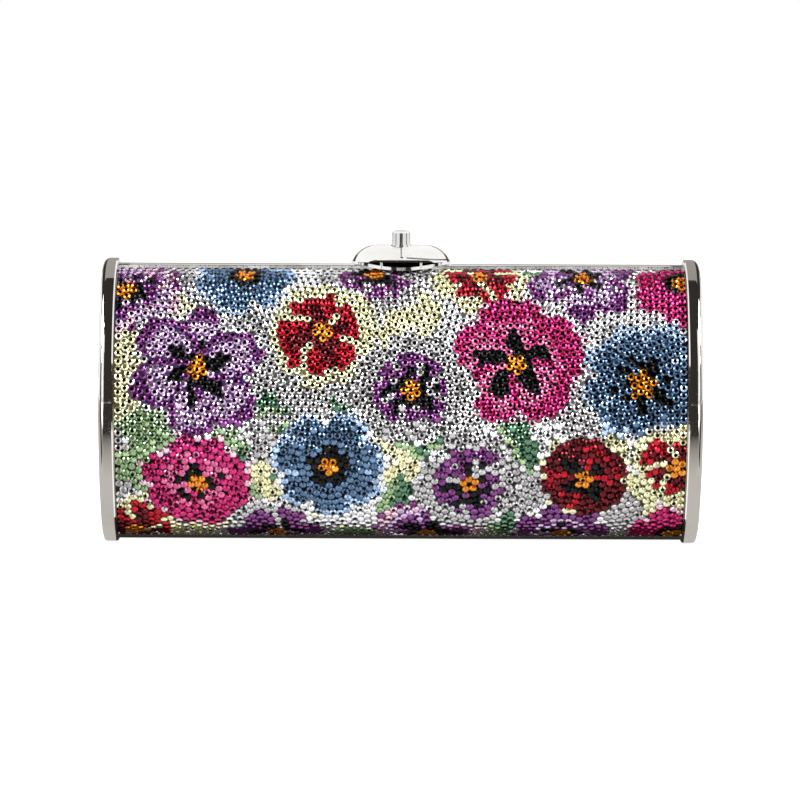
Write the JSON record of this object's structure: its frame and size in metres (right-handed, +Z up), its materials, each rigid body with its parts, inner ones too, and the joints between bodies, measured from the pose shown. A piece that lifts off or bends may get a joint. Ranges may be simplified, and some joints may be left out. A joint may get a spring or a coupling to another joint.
{
  "type": "minaudiere",
  "caption": "Hard-shelled oval-barrel evening clutch with stone-set sides, polished end caps, bottom piano hinge and domed push-button clasp.",
  "frame": {"origin": "on the surface it stands on, below the middle of the case", "axes": "X along the case, front faces -Y, Z up"},
  "size_m": [0.184, 0.0572, 0.0967],
  "materials": {
    "polished_silver": "mirror polished with faint rub marks",
    "base_metal": "plated sheet",
    "crystal": "close-set round faceted stones in a many-coloured flower design",
    "lining_leather": "silvered kid leather",
    "hinge_metal": "satin",
    "steel_fittings": "plain spring steel and small fixings"
  },
  "bodies": {
    "rear_half": {"rear_shell": "base_metal", "rear_crystals": "crystal", "rear_frame": "polished_silver", "rear_left_cap": "polished_silver", "rear_right_cap": "polished_silver", "rear_cap_screws": "steel_fittings", "rear_lining": "lining_leather", "rear_hinge_leaf": "hinge_metal", "rear_hinge_screws": "steel_fittings", "hinge_pin": "hinge_metal", "rear_saddle": "polished_silver", "rear_clasp_dome": "polished_silver", "rear_clasp_screws": "steel_fittings", "button_guide": "polished_silver", "latch_spring": "steel_fittings", "latch_spacer": "steel_fittings", "latch_rivets": "steel_fittings", "button_spring": "steel_fittings"},
    "front_half": {"front_shell": "base_metal", "front_crystals": "crystal", "front_frame": "polished_silver", "front_left_cap": "polished_silver", "front_right_cap": "polished_silver", "front_cap_screws": "steel_fittings", "front_lining": "lining_leather", "front_hinge_leaf": "hinge_metal", "front_hinge_screws": "steel_fittings", "front_saddle": "polished_silver", "front_clasp_dome": "polished_silver", "front_clasp_screws": "steel_fittings", "latch_hook": "steel_fittings"},
    "button": {"push_button": "polished_silver", "button_clip": "steel_fittings"}
  },
  "joints": [
    {"name": "lid_hinge", "type": "hinge", "parent": "rear_half", "child": "front_half", "pos_m": [0, 0, 0.003], "axis": [1, 0, 0], "range_deg": [0, 60]},
    {"name": "button_press", "type": "slide", "parent": "rear_half", "child": "button", "axis": [0, 0, -1], "range_m": [0, 0.0022], "stiffness_N_per_m": 400, "springref_m": -0.002, "deforming": ["button_spring", "latch_spring"]}
  ]
}
